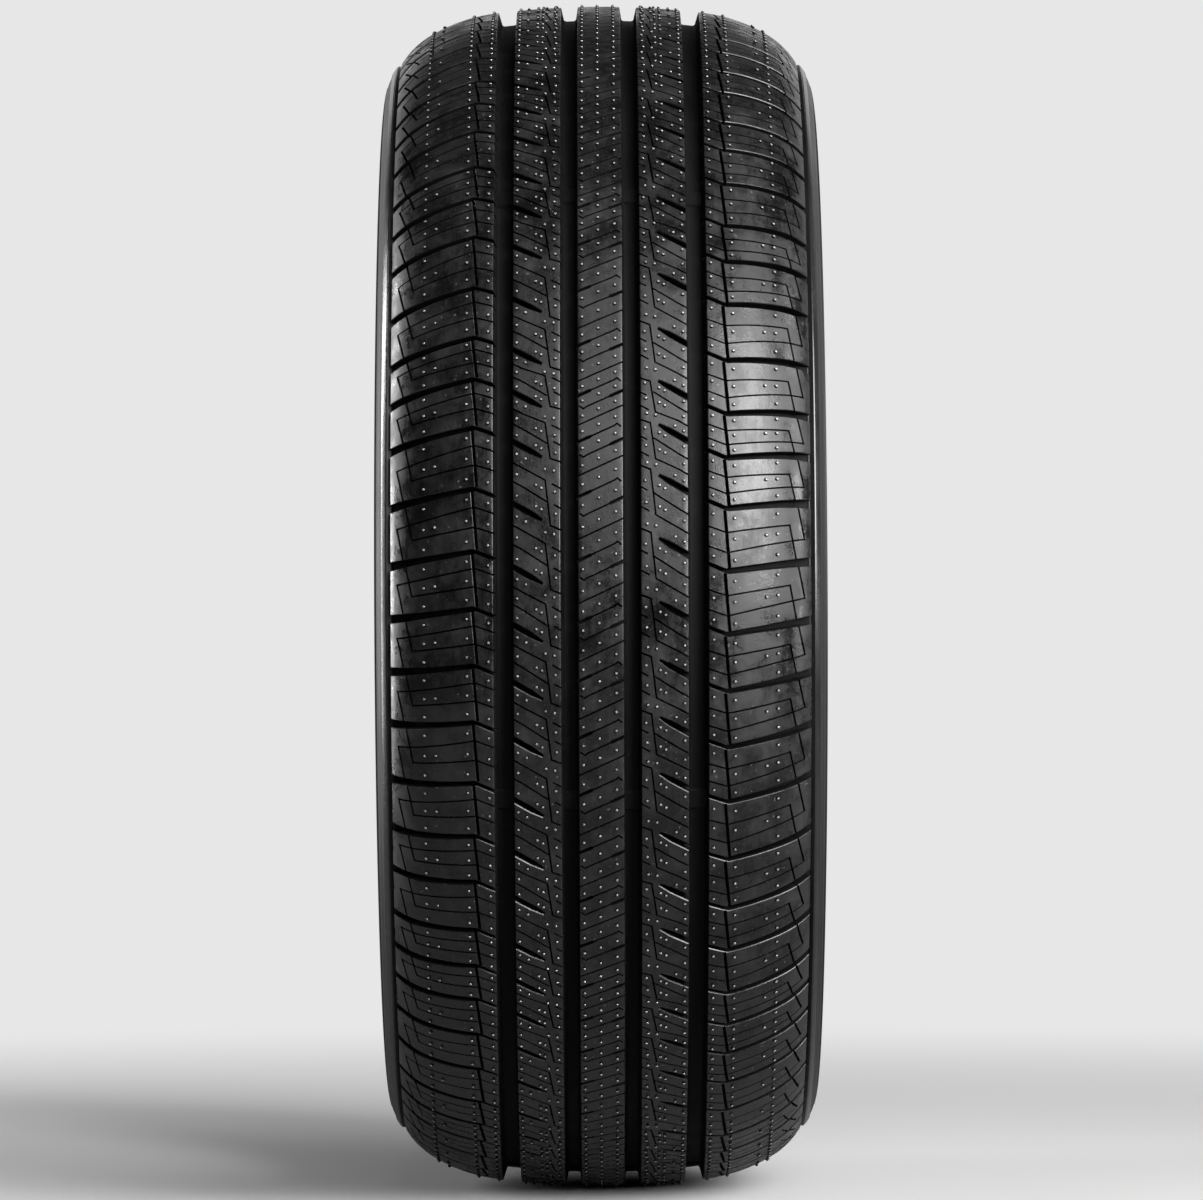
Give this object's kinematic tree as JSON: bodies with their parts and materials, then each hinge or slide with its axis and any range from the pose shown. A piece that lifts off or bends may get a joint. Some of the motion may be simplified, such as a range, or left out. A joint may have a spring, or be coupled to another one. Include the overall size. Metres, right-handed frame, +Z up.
{
  "type": "car tyre",
  "caption": "Low-profile road tyre for a passenger car, with round grooves, slanted shoulder grooves and two beads that seat on a rim.",
  "frame": {"origin": "centre of the tyre, on the spin axis midway between the beads", "axes": "+Y along the spin axis, +Z up with the tyre upright on its tread"},
  "size_m": [0.6776, 0.243, 0.6776],
  "materials": {
    "tread_rubber": "satin black moulded rubber"
  },
  "bodies": {
    "root": {"tyre": "tread_rubber"}
  },
  "joints": []
}
